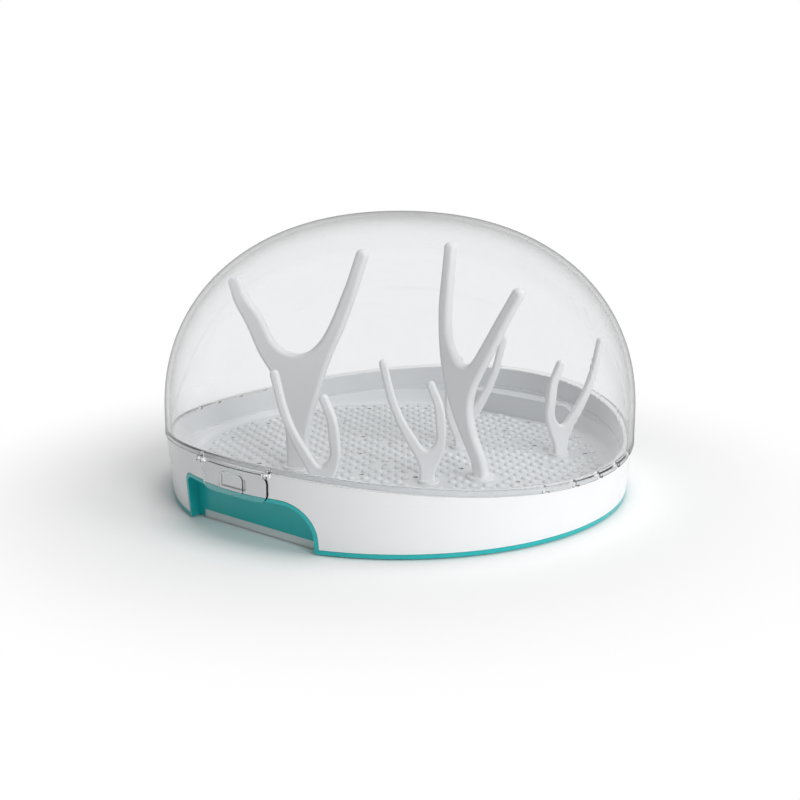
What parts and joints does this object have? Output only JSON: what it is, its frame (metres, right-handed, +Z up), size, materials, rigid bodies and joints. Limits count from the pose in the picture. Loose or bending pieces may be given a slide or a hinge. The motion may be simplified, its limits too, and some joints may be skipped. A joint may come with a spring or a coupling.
{
  "type": "microwave steam sterilizer",
  "caption": "Round microwave steam sterilizer: teal water base, white rack with forked branches, and a clear dome lid held by two clips.",
  "frame": {"origin": "below the middle of the base, at the bottoms of the feet", "axes": "+Z up, the two finger niches and clips face -Y and +Y, the branches face about 39 degrees round from -Y towards +X"},
  "size_m": [0.272, 0.2754, 0.1578],
  "materials": {
    "teal_plastic": "gloss teal",
    "pale_plastic": "satin pale grey",
    "foot_silicone": "matt grey",
    "white_plastic": "gloss white",
    "bowl_plastic": "gloss white, dimpled floor",
    "branch_plastic": "satin white",
    "clear_plastic": "clear gloss",
    "clip_plastic": "clear gloss"
  },
  "bodies": {
    "base": {"base_tray": "teal_plastic", "bottom_plate": "pale_plastic", "foot_1": "foot_silicone", "foot_2": "foot_silicone", "foot_3": "foot_silicone", "foot_4": "foot_silicone"},
    "rack": {"outer_wall": "white_plastic", "bowl": "bowl_plastic", "tall_branch_left": "branch_plastic", "tall_branch_right": "branch_plastic", "low_branch_front": "branch_plastic", "low_branch_middle": "branch_plastic", "low_branch_side": "branch_plastic", "low_branch_back": "branch_plastic"},
    "lid": {"dome_lid": "clear_plastic"},
    "clip_front": {"clip_front": "clip_plastic"},
    "clip_back": {"clip_back": "clip_plastic"}
  },
  "joints": [
    {"name": "rack_lift", "type": "slide", "parent": "base", "child": "rack", "axis": [0, 0, 1], "range_m": [0, 0.06]},
    {"name": "lid_lift", "type": "slide", "parent": "rack", "child": "lid", "axis": [0, 0, 1], "range_m": [0, 0.13]},
    {"name": "clip_front_swing", "type": "hinge", "parent": "lid", "child": "clip_front", "pos_m": [0, -0.1356, 0.0406], "axis": [-1, 0, 0], "range_deg": [0, 75]},
    {"name": "clip_back_swing", "type": "hinge", "parent": "lid", "child": "clip_back", "pos_m": [0, 0.1356, 0.0406], "axis": [1, 0, 0], "range_deg": [0, 75]}
  ]
}
